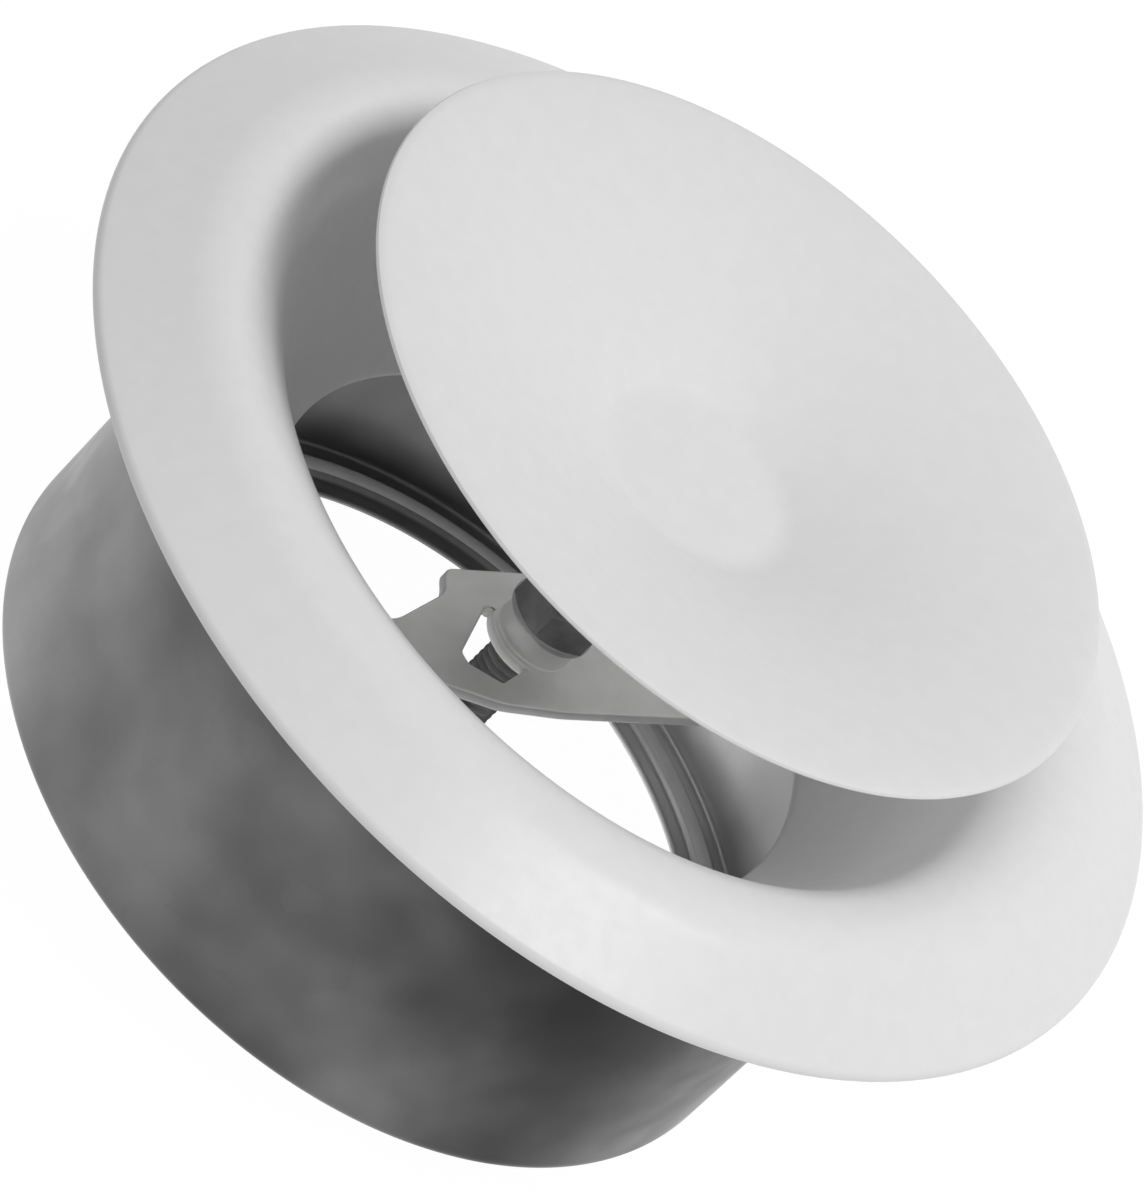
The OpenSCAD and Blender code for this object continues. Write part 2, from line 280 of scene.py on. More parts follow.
@dataclass(frozen=True)
class GalvanisedSheet(Finish):
    """Hot-dip galvanised sheet: faint zinc crystals, called spangle, under wide soft clouds, which
    are partly the zinc's own and partly painted dark reflections. The inner face carries painted
    light, and the bead's ridge a painted highlight.

    Attributes:
        spangle_mm: Width of a crystal.
        spangle_share: How strongly a crystal's own tone shows.
        spangle_tones: Darkest and lightest tone of a crystal, times the colour.
        cloud_mm: Width of a cloud.
        cloud_length: Length of a cloud along the axis, in widths.
        cloud_shift: Shift of the clouds in cloud widths, which picks the pattern and so where the
            painted dark reflections fall.
        cloud_detail: Octaves of finer noise in the clouds.
        painted_inside_gain: How much lighter the inner face is painted, as painted light inside the
            collar.
        inside_mm: Radius within which the sheet shows its inner face.
        inside_metal: How metallic that face is.
        painted_inside_lift: How much painted light is added to the inner face's colour.
        mottle_share: Weight of small soft patches beside the clouds.
        painted_highlight_mm: Radius of the bead's ridge, where a white highlight line is painted.
        painted_highlight_w_mm: Half width of that painted highlight line.
    """

    spangle_mm: float = 4.0
    spangle_share: float = 0.12
    spangle_tones: tuple[float, float] = (0.7, 1.25)
    cloud_mm: float = 56.0
    cloud_length: float = 2.2
    cloud_shift: tuple[float, float, float] = (29.8, 29.4, 44.5)
    cloud_detail: float = 1.5
    cloud_roughness: float = 0.4
    painted_inside_gain: float = 2.1
    inside_mm: float = 48.9
    inside_step_mm: float = 0.1
    inside_metal: float = 0.5
    painted_inside_lift: float = 0.12
    mottle_share: float = 0.16
    painted_highlight_mm: float = 45.2
    painted_highlight_w_mm: float = 1.0

    def clouds(self, tree: Tree, place: Socket) -> Socket:
        """0 to 1 in wide soft patches, longer along the axis; the dark ones are partly painted
        reflection.

        Args:
            tree: The node tree.
            place: Object coordinates.

        Returns:
            The share of the second colour.
        """
        size = [1 / (self.cloud_mm * MM * k) for k in (1, 1, self.cloud_length)]
        placed = {"Vector": place, "Location": self.cloud_shift, "Scale": size}
        scaled = add(tree, "ShaderNodeMapping", placed).outputs[0]
        finer = {"Detail": self.cloud_detail, "Roughness": self.cloud_roughness}
        noise = add(tree, "ShaderNodeTexNoise", {"Vector": scaled, "Scale": 1.0, **finer})
        mottle = self.pattern(tree, self.patch_mm, 2.0, 1.0)
        small = calc(tree, "SUBTRACT", mottle.outputs[0], 0.5)
        both = calc(tree, "MULTIPLY_ADD", small, self.mottle_share, noise.outputs[0])
        return self.ramp(tree, both, 0.0, 1.0).outputs[0]

    def tint(self, tree: Tree) -> Socket:
        """Clouds and crystals, with painted light on the inner face and a painted white highlight
        line on the bead.

        Args:
            tree: The node tree.

        Returns:
            The colour's socket.
        """
        place = add(tree, "ShaderNodeTexCoord").outputs["Object"]
        # Partly painted reflection: the dark clouds stand in for dark surroundings reflected in the
        # sheet
        base = mixed(tree, self.clouds(tree, place), linear(self.colour), linear(self.shade))
        crystals = {"Vector": place, "Scale": 1 / (self.spangle_mm * MM), "Randomness": 1.0}
        cells = add(tree, "ShaderNodeTexVoronoi", crystals)
        tone = add(tree, "ShaderNodeRGBToBW", {0: cells.outputs["Color"]})
        low, high = self.spangle_tones
        limits = {"Value": tone.outputs[0], 1: 0.0, 2: 1.0, 3: low, 4: high}
        level = add(tree, "ShaderNodeMapRange", limits)
        spangle = mixed(tree, self.spangle_share, base, level.outputs[0], "MULTIPLY")
        # Painted light: the inner face's colour is scaled up and lifted, to stand in for light
        # inside the collar
        gain = self.by_face(tree, self.painted_inside_gain)
        lit = add(tree, "ShaderNodeVectorMath", {0: spangle, "Scale": gain}, operation="SCALE")
        painted_inside_lift = calc(tree, "SUBTRACT", 1.0, self.by_face(tree, 1 - self.painted_inside_lift))
        lightened_inside = add(tree, "ShaderNodeVectorMath", {0: lit.outputs[0], 1: painted_inside_lift}, operation="ADD")
        # Painted highlight: a white line on the bead's ridge
        return mixed(tree, self.painted_highlight(tree), lightened_inside.outputs[0], WHITE)

    def by_face(self, tree: Tree, inner: float) -> Socket:
        """A value on the sheet's inner face, and 1 on its outer face.

        Args:
            tree: The node tree.
            inner: The value on the inner face.

        Returns:
            The value's socket.
        """
        start, end = (self.inside_mm - self.inside_step_mm) * MM, self.inside_mm * MM
        limits = {"Value": self.radius(tree), 1: start, 2: end, 3: inner, 4: 1.0}
        return add(tree, "ShaderNodeMapRange", limits).outputs[0]

    def painted_highlight(self, tree: Tree) -> Socket:
        """1 on the bead's ridge, where the white highlight is painted, 0 elsewhere."""
        return calc(tree, "COMPARE", self.radius(tree), self.painted_highlight_mm * MM, self.painted_highlight_w_mm * MM)

    def radius(self, tree: Tree) -> Socket:
        """Distance from the valve's axis in metres.

        Args:
            tree: The node tree.

        Returns:
            The distance's socket.
        """
        place = add(tree, "ShaderNodeTexCoord").outputs["Object"]
        flat = add(tree, "ShaderNodeVectorMath", {0: place, 1: (1, 1, 0)}, operation="MULTIPLY")
        length = add(tree, "ShaderNodeVectorMath", {0: flat.outputs[0]}, operation="LENGTH")
        return length.outputs["Value"]

    def metal(self, tree: Tree) -> Socket:
        """Bare metal outside, duller inside, and no metal on the bead's ridge, where the painted
        white highlight is.
        """
        plain = calc(tree, "SUBTRACT", 1.0, self.painted_highlight(tree))
        return calc(tree, "MULTIPLY", plain, self.by_face(tree, self.inside_metal))


# Every roughness stays at 0.28 or more with its swing: wide patches that went lower
# showed as islands in the render

# Polyester powder baked on steel: an even, half-matt white with faint orange peel
RING_COAT = Finish(
    "powder_coat_ring", "#DEDEDE", "#DCDCDC", 0.0, 0.31, 0.03, 2.5, 0.9, 0.005, specular=0.17
)
DISC_COAT = Finish(
    "powder_coat_disc", "#DBDBDB", "#D9D9D9", 0.0, 0.52, 0.03, 2.5, 0.9, 0.005, specular=0.22
)
# Hot-dip zinc: a dark colour and wide dark clouds over faint crystals, the darkness partly the
# zinc's own cloudiness and partly painted reflection of dark surroundings
GALVANISED = GalvanisedSheet(
    "galvanised_sheet", "#262626", "#9F9F9F", 1.0, 0.33, 0.05, 17, 0.7, 0.003
)
# Zinc plating, even and slightly brighter
PLATED = Finish("zinc_plating", "#C8C8C8", "#B8B8B8", 0.5, 0.40, 0.06, 6, 0.4, 0.003)
# Rolled and plated strip: a matt grey with fine lines along the strap
BRIDGE_SHEET = Finish(
    "plated_strip", "#F4F4F3", "#EAEAE9", 0.45, 0.5, 0.05, 8, 0.35, 0.003, stretch=6, turn_deg=57
)
# Thread left dark by its oil and phosphate
DARK_THREAD = Finish("phosphated_thread", "#969696", "#808080", 0.35, 0.46, 0.06, 3, 0.3, 0.003)
# Plain aluminium rivet
RIVET_METAL = Finish("aluminium_rivet", "#C6C7C8", "#B4B6B8", 1.0, 0.38, 0.06, 3, 0.3, 0.003)
# Tempered strip, bright, with the rolling lines along the leaf
SPRING_STRIP = Finish(
    "spring_strip", "#9EA0A2", "#86898C", 1.0, 0.33, 0.05, 6, 0.3, 0.003, stretch=5.0
)
# Closed-cell foam: a dead matt skin with pores
FOAM = Finish("closed_cell_foam", "#2E2F31", "#242527", 0.0, 0.92, 0.04, 5, 0.6, 0.12)


# Surfaces


def arc(
    centre: tuple[float, float], radius: float, start: float, end: float, steps: int
) -> np.ndarray:
    """Arc in R and Z: centre + radius (sin a, cos a), with a in degrees from +Z towards +R."""
    a = np.radians(np.linspace(start, end, steps + 1))
    return np.column_stack([centre[0] + radius * np.sin(a), centre[1] + radius * np.cos(a)])


def softened(section: np.ndarray, cut: float, steps: int = 4, closed: bool = True) -> np.ndarray:
    """Round every corner of a section.

    Each corner P becomes the curve (1-s)^2 A + 2s(1-s) P + s^2 B, where A and B
    lie on its two sides, cut away from P or half way along a shorter side.

    Args:
        section: Corners on the second-last axis, R and Z on the last.
        cut: Distance from a corner to where its curve starts.
        steps: Points on each curve.
        closed: True where the last corner joins the first.

    Returns:
        The rounded section, steps times as many points.
    """
    ahead = np.roll(section, -1, axis=-2) - section
    length = np.maximum(np.linalg.norm(ahead, axis=-1, keepdims=True), 1e-9)
    run = np.minimum(cut, length / 2)
    after = section + ahead / length * run
    before = section - np.roll(ahead / length * run, 1, axis=-2)
    if not closed:
        before[..., 0, :] = after[..., 0, :] = section[..., 0, :]
        before[..., -1, :] = after[..., -1, :] = section[..., -1, :]
    s = np.linspace(0, 1, steps)[:, None]
    curve = (
        (1 - s) ** 2 * before[..., None, :]
        + 2 * s * (1 - s) * section[..., None, :]
        + s**2 * after[..., None, :]
    )
    return curve.reshape(*section.shape[:-2], -1, 2)


def grid_faces(rows: int, columns: int, wrap_rows: bool, wrap_columns: bool) -> np.ndarray:
    """Corner numbers of the quads between neighbouring rows and columns of a grid.

    Args:
        rows: Number of rows of points.
        columns: Number of points in a row.
        wrap_rows: True where the last row joins the first.
        wrap_columns: True where the last point of a row joins the first.

    Returns:
        One line of four corner numbers for each quad.
    """
    i = np.arange(rows if wrap_rows else rows - 1)[:, None]
    j = np.arange(columns if wrap_columns else columns - 1)[None, :]
    i2, j2 = (i + 1) % rows, (j + 1) % columns
    quads = [i * columns + j, i2 * columns + j, i2 * columns + j2, i * columns + j2]
    return np.stack(np.broadcast_arrays(*quads), axis=-1).reshape(-1, 4)


def turned(section: np.ndarray, angles: int, closed: bool = True) -> Surface:
    """Surface of revolution: the point at angle a is (R cos a, R sin a, Z).

    Args:
        section: Points of R and Z, or one such section for each angle.
        angles: Number of angles round the axis.
        closed: True where the section is a loop, False where it ends on the axis.

    Returns:
        The points and the quads.
    """
    a = np.linspace(0, TURN, angles, endpoint=False)[:, None]
    loops = np.broadcast_to(section, (angles, *section.shape[-2:]))
    r, z = loops[..., 0], loops[..., 1]
    points = np.stack([r * np.cos(a), r * np.sin(a), z], axis=-1)
    return points.reshape(-1, 3), grid_faces(angles, loops.shape[1], True, closed)


def sheet_edge(loop: np.ndarray, low: float, high: float, edge: float, steps: int = 4) -> Surface:
    """Rounded edge of a flat sheet, carried along one outline.

    The section at each outline point is a flat rim, a quarter round, a straight
    side, a quarter round and a flat rim. A point at angle t of a round lies edge
    times (1 - sin t) inside the outline, along the left-hand normal, and edge
    times (1 - cos t) below the face. The rims keep the shading of the caps flat.

    Args:
        loop: Outline with the sheet on its left.
        low: Height of the lower face.
        high: Height of the upper face.
        edge: Radius of the round.
        steps: Steps in each quarter.

    Returns:
        The points and the quads.
    """
    along = np.roll(loop, -1, axis=0) - np.roll(loop, 1, axis=0)
    along /= np.linalg.norm(along, axis=1, keepdims=True)
    inward = np.column_stack([-along[:, 1], along[:, 0]])
    t = np.linspace(0, math.pi / 2, steps + 1)
    inset = edge * np.concatenate([[FLAT_RIM], 1 - np.sin(t), 1 - np.sin(t[::-1]), [FLAT_RIM]])
    drop = edge * np.concatenate([[0], 1 - np.cos(t)])
    height = np.concatenate([high - drop, low + drop[::-1]])
    flat = loop[None] + inset[:, None, None] * inward[None]
    level = np.broadcast_to(height[:, None, None], (*flat.shape[:2], 1))
    points = np.concatenate([flat, level], axis=-1)
    return points.reshape(-1, 3), grid_faces(len(inset), len(loop), False, True)


def joined(parts: list[Surface]) -> Surface:
    """Several sets of points and quads as one set.

    Args:
        parts: The sets.

    Returns:
        All the points, and the quads with their corner numbers moved on.
    """
    starts = np.cumsum([0] + [len(points) for points, _ in parts[:-1]])
    points = np.concatenate([points for points, _ in parts])
    return points, np.concatenate([faces + start for (_, faces), start in zip(parts, starts)])


def make_piece(
    name: str, points: np.ndarray, faces: np.ndarray, place: Matrix = IN_PLACE
) -> bpy.types.Object:
    """Put a numpy surface given in millimetres into a mesh.

    Args:
        name: Name of the object.
        points: Points in millimetres.
        faces: Quads as corner numbers. Open edges at one height get a flat cap.
        place: Where the surface's own frame stands in the row frame, in metres.

    Returns:
        An object at the origin, with merged points and faces that point outwards.
    """
    mesh = bpy.data.meshes.new(name)
    mesh.from_pydata((points * MM).tolist(), [], faces.tolist())
    shell = bmesh.new()
    shell.from_mesh(mesh)
    bmesh.ops.remove_doubles(shell, verts=shell.verts, dist=MERGE)
    levels: dict[float, list[bmesh.types.BMEdge]] = {}
    for edge in shell.edges:
        if edge.is_boundary:
            levels.setdefault(round(edge.verts[0].co.z / MM, 3), []).append(edge)
    for edges in levels.values():
        bmesh.ops.triangle_fill(shell, edges=edges, use_beauty=True, use_dissolve=False)
    bmesh.ops.recalc_face_normals(shell, faces=shell.faces)
    bmesh.ops.transform(shell, matrix=place, verts=shell.verts)
    shell.to_mesh(mesh)
    shell.free()
    return finish_piece(name, mesh)


def finish_piece(name: str, mesh: bpy.types.Mesh) -> bpy.types.Object:
    """Link a mesh as an object, shaded smooth except along its creases.

    Args:
        name: Name of the object.
        mesh: Its mesh.

    Returns:
        The object.
    """
    mesh.shade_smooth()
    mesh.set_sharp_from_angle(angle=math.radians(CREASE_DEG))
    piece = bpy.data.objects.new(name, mesh)
    bpy.context.scene.collection.objects.link(piece)
    return piece


@dataclass
class Assembly:
    """What the sub-assemblies share: the frame's nodes and how a piece is dressed.

    Attributes:
        nodes: The frame's objects by node name.
        washer_angles: Number of angles round a plain round piece.
    """

    nodes: dict[str, bpy.types.Object]
    washer_angles: int = 96

    def dress(self, piece: bpy.types.Object, finish: Finish, slot: Slot) -> bpy.types.Object:
        """Give a piece its finish, and report it.

        Args:
            piece: The piece.
            finish: Its finish.
            slot: Not used.

        Returns:
            The same piece.
        """
        piece.data.materials.clear()
        piece.data.materials.append(finish.material())
        log.info("%-26s %-20s %d faces", piece.name, finish.name, len(piece.data.polygons))
        return piece

    def stand_for(self, piece: bpy.types.Object, body: Body, *nodes: str) -> bpy.types.Object:
        """Let a new piece ride on a body in place of CAD nodes."""
        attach(piece, body.value)
        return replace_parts(piece, *nodes)

    def washer_piece(
        self, node: str, name: str, body: Body, hole_r: float, edge: float
    ) -> bpy.types.Object:
        """Turn a plain round piece with soft edges in the place of a CAD node.

        Args:
            node: The CAD node.
            name: Name of the new piece.
            body: The body that it rides on.
            hole_r: Radius of its hole in millimetres.
            edge: Size of the soft edges in millimetres.

        Returns:
            The new piece.
        """
        low, high = (np.array(c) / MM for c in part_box(node))
        loop = np.array(
            [[hole_r, low[2]], [high[0], low[2]], [high[0], high[2]], [hole_r, high[2]]]
        )
        shape = turned(softened(loop, edge), self.washer_angles)
        return self.stand_for(make_piece(name, *shape), body, node)


# The valve's sub-assemblies


@dataclass
class MountingCollar(Assembly):
    """Galvanised spigot with a beaded rear rim and a screwed front flange, in millimetres.

    Attributes:
        rim_w: Width of the inward rear rim.
        rim_turn: Outer radius of the turn from the wall into that rim.
        bead_r: Inner radius of the bead's half round.
        bead_in: Distance of the bead from the collar's outside.
        bead_steps: Steps in the bead's half round.
        turn_steps: Steps in the rim's turn.
        screw_r: Radius of the circle of screw holes.
        screw_angles: Number of angles round a screw hole.
        edge: Softening of the sheet's corners.
    """

    outer_r: float = 49.5
    wall: float = 0.8
    rim_w: float = 8.0
    rim_turn: float = 1.6
    bead_r: float = 1.0
    bead_in: float = 4.3
    bead_steps: int = 7
    turn_steps: int = 5
    screw_r: float = 53.75
    screw_d: float = 4.2
    screws: int = 4
    screw_angles: int = 40
    edge: float = 0.5
    angles: int = 224

    def section(self) -> np.ndarray:
        """The sheet's section: rim with its bead, rolled corner, wall and flange."""
        low, high = (np.array(c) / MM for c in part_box("mounting_collar"))
        flange_r, top = high[0], high[2]
        seat, inner = top - self.wall, self.outer_r - self.wall
        opening, bead_at = self.outer_r - self.rim_w, self.outer_r - self.bead_in
        end = math.degrees(math.acos(self.wall / (self.bead_r + self.wall)))
        corner = (self.outer_r - self.rim_turn, self.rim_turn + low[2])
        rows = [
            [[opening, 0]],
            arc((bead_at, 0), self.bead_r, -90, 90, self.bead_steps),
            arc(corner, self.rim_turn, 180, 90, self.turn_steps),
            [[self.outer_r, seat], [flange_r, seat], [flange_r, top], [inner, top]],
            arc(corner, self.rim_turn - self.wall, 90, 180, self.turn_steps),
            arc((bead_at, 0), self.bead_r + self.wall, end, -end, self.bead_steps),
            [[opening, self.wall]],
        ]
        return softened(np.vstack(rows), self.edge)

    def build(self) -> None:
        """Turn the sheet, drill its flange and dress it."""
        shell = make_piece("collar_shell", *turned(self.section(), self.angles))
        drilled = self.drill(shell)
        self.stand_for(drilled, Body.COLLAR, "mounting_collar")
        self.dress(drilled, GALVANISED, Slot.GALVANISED)

    def drill(self, shell: bpy.types.Object) -> bpy.types.Object:
        """Cut the screw holes through the flange.

        Each cutter is a cylinder: radius times (cos a, sin a) about the hole's own
        axis, closed at both ends on that axis.

        Args:
            shell: The turned collar.

        Returns:
            The collar with its holes.
        """
        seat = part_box("mounting_collar")[1].z / MM - self.wall
        r, low, high = self.screw_d / 2, seat - self.wall, seat + 2 * self.wall
        half = np.array([[0, low], [r, low], [r, high], [0, high]])
        rod, faces = turned(half, self.screw_angles, closed=False)
        a = (np.arange(self.screws) + 0.5) * TURN / self.screws
        centres = np.column_stack([np.cos(a), np.sin(a), 0 * a]) * self.screw_r
        cutter = make_piece("screw_cutters", *joined([(rod + centre, faces) for centre in centres]))
        cut = shell.modifiers.new("holes", "BOOLEAN")
        cut.operation, cut.solver, cut.object = "DIFFERENCE", "EXACT", cutter
        graph = bpy.context.evaluated_depsgraph_get()
        mesh = bpy.data.meshes.new_from_object(shell.evaluated_get(graph))
        bpy.data.objects.remove(shell)
        bpy.data.objects.remove(cutter)
        return finish_piece("collar_shell", mesh)


@dataclass
class ValveRing(Assembly):
    """White pressed ring with its bell-mouthed throat, and the foam behind it, in millimetres.

    Attributes:
        crest_r: Radius at which the face stands highest.
        throat_turn: Radius of the turn from the crest into the throat.
        throat_slope: Angle of the throat's wall to the wall plane, in degrees.
        throat_depth: Depth of the throat behind the wall plane.
        flank_r: Radius of the crest's outer flank.
        flank_from: Angle at which that flank starts beside the crest, in degrees.
        edge_turn: Radius of the turn at the outer edge.
        edge_rise: Height of that turn's centre above the wall plane.
        mouth_steps: Steps in the throat's turn.
        face_steps: Steps in the flank and in the edge's turn.
        edge: Softening of the sheet's corners.
    """

    wall: float = 1.0
    crest_r: float = 54.5
    throat_turn: float = 9.5
    throat_slope: float = 59.0
    throat_depth: float = 17.5
    rear_flange_w: float = 6.4
    flank_r: float = 11.4
    flank_from: float = 4.0
    edge_turn: float = 1.2
    edge_rise: float = 0.06
    mouth_steps: int = 9
    face_steps: int = 5
    edge: float = 0.7
    angles: int = 224

    def surface(self, depth: float, outer_r: float, crest: float) -> np.ndarray:
        """The pressed face from throat to edge, a distance depth into the sheet.

        It is three arcs: the turn into the throat, the crest's flank, and the
        small edge turn, which a straight slope joins because both touch it.

        Args:
            depth: Distance into the sheet.
            outer_r: The ring's outer radius.
            crest: Height of the crest above the wall plane.

        Returns:
            Points of R and Z above the wall plane.
        """
        run = (outer_r - self.edge_turn - self.crest_r, self.edge_rise - crest + self.flank_r)
        reach = (self.flank_r - self.edge_turn) / math.hypot(*run)
        flank = math.degrees(math.atan2(*run) - math.acos(reach))
        mouth = (self.crest_r, crest - self.throat_turn)
        brow = (self.crest_r, crest - self.flank_r)
        lip = (outer_r - self.edge_turn, self.edge_rise)
        arcs = [
            arc(mouth, self.throat_turn - depth, -self.throat_slope, 0, self.mouth_steps),
            arc(brow, self.flank_r - depth, self.flank_from, flank, self.face_steps),
            arc(lip, self.edge_turn - depth, flank, 90, self.face_steps),
        ]
        return np.vstack(arcs)

    def section(self) -> np.ndarray:
        """The whole sheet's section in the row frame."""
        low, high = (np.array(c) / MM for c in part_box("valve_ring"))
        wall_plane = low[2] + self.throat_depth + self.wall
        outer_r, crest = high[0], high[2] - wall_plane
        front = self.surface(0, outer_r, crest)
        back = self.surface(self.wall, outer_r, crest)
        fall = math.tan(math.radians(self.throat_slope))
        throat_r = front[0, 0] - (front[0, 1] + self.throat_depth) / fall
        behind_r = back[0, 0] - (back[0, 1] + self.throat_depth) / fall
        rear, seat = -self.throat_depth - self.wall, -self.throat_depth
        foot_r = throat_r + self.rear_flange_w
        lead = [[throat_r, rear], [throat_r, seat]]
        rim = [[outer_r, 0], [outer_r - self.wall, 0]]
        tail = [[behind_r, seat], [foot_r, seat], [foot_r, rear]]
        loop = np.vstack([lead, front, rim, back[::-1], tail])
        loop[:, 1] += wall_plane
        return softened(loop, self.edge)

    def build(self) -> None:
        """Turn the ring and dress it and its foam seal."""
        shell = make_piece("ring_shell", *turned(self.section(), self.angles))
        self.stand_for(shell, Body.INSERT, "valve_ring")
        self.dress(shell, RING_COAT, Slot.WHITE_RING)
        self.dress(self.nodes["flange_gasket"], FOAM, Slot.FOAM)


@dataclass
class DiscAndSpindle(Assembly):
    """White dished disc on its hub, and the threaded spindle with its end stop, in millimetres.

    Attributes:
        dish: Depth of the dish.
        dish_power: Power of the dish's curve.
        flat_r: Radius of the flat middle.
        rings: Steps in the dish.
        edge: Softening of the disc's corners.
        wave_gain: Steepness of the thread's flanks.
        wave_flat: How much of its wave is cut flat at the crest.
        rows_in_pitch: Rows of points in one pitch of the thread.
        groove: Lowest and highest height of the end stop's groove above the end.
        groove_r: Radius at the bottom of that groove.
        groove_step: Half the height over which the groove's sides fall.
        hub_edge: Softening of the hub; stop_edge is that of the end stop.
        stop_gap: Gap between the groove and the end stop.
    """

    wall: float = 0.9
    dish: float = 9.6
    dish_power: float = 1.7
    flat_r: float = 11.5
    rings: int = 14
    edge: float = 1.3
    angles: int = 224
    thread_pitch: float = 1.0
    thread_depth: float = 0.55
    wave_gain: float = 1.25
    wave_flat: float = 0.1
    rows_in_pitch: int = 10
    thread_angles: int = 40
    end_chamfer: float = 0.7
    groove: tuple[float, float] = (2.5, 3.5)
    groove_r: float = 2.4
    groove_step: float = 1e-3
    hub_hole_r: float = 3.0
    hub_edge: float = 0.4
    stop_edge: float = 0.25
    stop_gap: float = 0.05

    def disc_section(self) -> np.ndarray:
        """Half the disc's section: flat in the middle, then rising to the edge.

        The face at radius r lies dish times ((R - r) / (R - flat)) to the
        dish_power below the edge.
        """
        high = np.array(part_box("valve_disc")[1]) / MM
        outer_r, edge = high[0], high[2]
        r = np.linspace(self.flat_r, outer_r, self.rings + 1)
        face = edge - self.dish * ((outer_r - r) / (outer_r - self.flat_r)) ** self.dish_power
        front = np.vstack([[0, edge - self.dish], np.column_stack([r, face])])
        loop = np.vstack([front, (front - [0, self.wall])[::-1]])
        return softened(loop, self.edge, closed=False)

    def thread(self) -> Surface:
        """The spindle's surface.

        At height z and angle a the radius is the full radius less the thread's
        depth times a wave that falls and rises once in a pitch. The wave's phase
        is z over the pitch less a over a full turn, which makes it a helix. The
        groove and the end chamfer take the smaller radius.

        Returns:
            The points about the axis, and the quads.
        """
        low, high = (np.array(c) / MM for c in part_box("spindle"))
        full_r, length = high[0], high[2] - low[2]
        z = np.linspace(0, length, int(length / self.thread_pitch * self.rows_in_pitch) + 1)
        edges, step = np.array(self.groove), self.groove_step
        z = np.sort(np.concatenate([z, edges - step, edges + step]))[:, None]
        a = np.linspace(0, TURN, self.thread_angles, endpoint=False)[None, :]
        phase = (z / self.thread_pitch - a / TURN) % 1
        wave = np.clip(self.wave_gain * np.abs(2 * phase - 1) - self.wave_flat, 0, 1)
        r = full_r - self.thread_depth * wave
        r = np.minimum(r, full_r - self.end_chamfer + z)
        r = np.where((z > edges[0]) & (z < edges[1]), self.groove_r, r)
        points = np.stack([r * np.cos(a), r * np.sin(a), z + low[2] + 0 * a], axis=-1)
        ends = np.zeros((2, self.thread_angles, 3))
        ends[:, :, 2] = [[low[2]], [high[2]]]
        points = np.concatenate([ends[:1], points, ends[1:]])
        return points.reshape(-1, 3), grid_faces(len(points), self.thread_angles, False, True)

    def build(self) -> None:
        """Build the disc and the spindle, and dress them, the hub and the end stop."""
        disc = make_piece("disc_plate", *turned(self.disc_section(), self.angles, closed=False))
        self.stand_for(disc, Body.DISC, "valve_disc")
        self.dress(disc, DISC_COAT, Slot.WHITE_DISC)
        rod = make_piece("spindle_rod", *self.thread())
        self.stand_for(rod, Body.DISC, "spindle")
        self.dress(rod, DARK_THREAD, Slot.DARK_THREAD)
        hole_r, edge = self.hub_hole_r, self.hub_edge
        hub = self.washer_piece("disc_hub", "hub_flange", Body.DISC, hole_r, edge)
        self.dress(hub, PLATED, Slot.PLATED)
        hole_r, edge = self.groove_r + self.stop_gap, self.stop_edge
        stop = self.washer_piece("end_stop", "stop_ring", Body.STOP, hole_r, edge)
        self.dress(stop, DARK_THREAD, Slot.DARK_THREAD)


@dataclass
class LockNut(Assembly):
    """Dark hexagon nut and its washer, in millimetres.

    Attributes:
        flats: Width across the flats.
        face_r: Radius at which the chamfer starts.
        chamfer_slope: Fall of the chamfer over its width.
        least_cut: Least width of the chamfer.
        edge: Softening of the corners; washer_edge is that of the washer.
    """

    flats: float = 10.0
    bore_r: float = 3.05
    face_r: float = 5.0
    chamfer_slope: float = 0.71
    least_cut: float = 0.02
    washer_hole_r: float = 3.3
    washer_edge: float = 0.2
    edge: float = 0.15
    angles: int = 144

    def nut(self) -> Surface:
        """The nut's surface.

        At angle a the hexagon's radius is half the width across flats over the
        cosine of the angle to the nearest flat's middle. The chamfer is a cone
        that starts at face_r, so it meets each flat in an arc.

        Returns:
            The points about the axis, and the quads.
        """
        low, high = (np.array(c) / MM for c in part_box("lock_nut"))
        a = np.linspace(0, TURN, self.angles, endpoint=False)
        corner = TURN / 6
        from_flat = (a + corner / 2) % corner - corner / 2
        hexagon = self.flats / 2 / np.cos(from_flat)
        drop = np.maximum(hexagon - self.face_r, self.least_cut) * self.chamfer_slope
        rim, bore = hexagon - drop / self.chamfer_slope, self.bore_r + 0 * a
        foot, top = low[2] + 0 * a, high[2] + 0 * a
        radii = [bore, rim, hexagon, hexagon, rim, bore]
        heights = [foot, foot, foot + drop, top - drop, top, top]
        loop = np.stack([np.stack(radii, 1), np.stack(heights, 1)], axis=-1)
        return turned(softened(loop, self.edge), self.angles)

    def build(self) -> None:
        """Build the nut, and dress it and its washer."""
        nut = make_piece("hexagon_nut", *self.nut())
        self.stand_for(nut, Body.NUT, "lock_nut")
        self.dress(nut, DARK_THREAD, Slot.DARK_THREAD)
        hole_r, edge = self.washer_hole_r, self.washer_edge
        washer = self.washer_piece("lock_washer", "plain_washer", Body.WASHER, hole_r, edge)
        self.dress(washer, PLATED, Slot.PLATED)


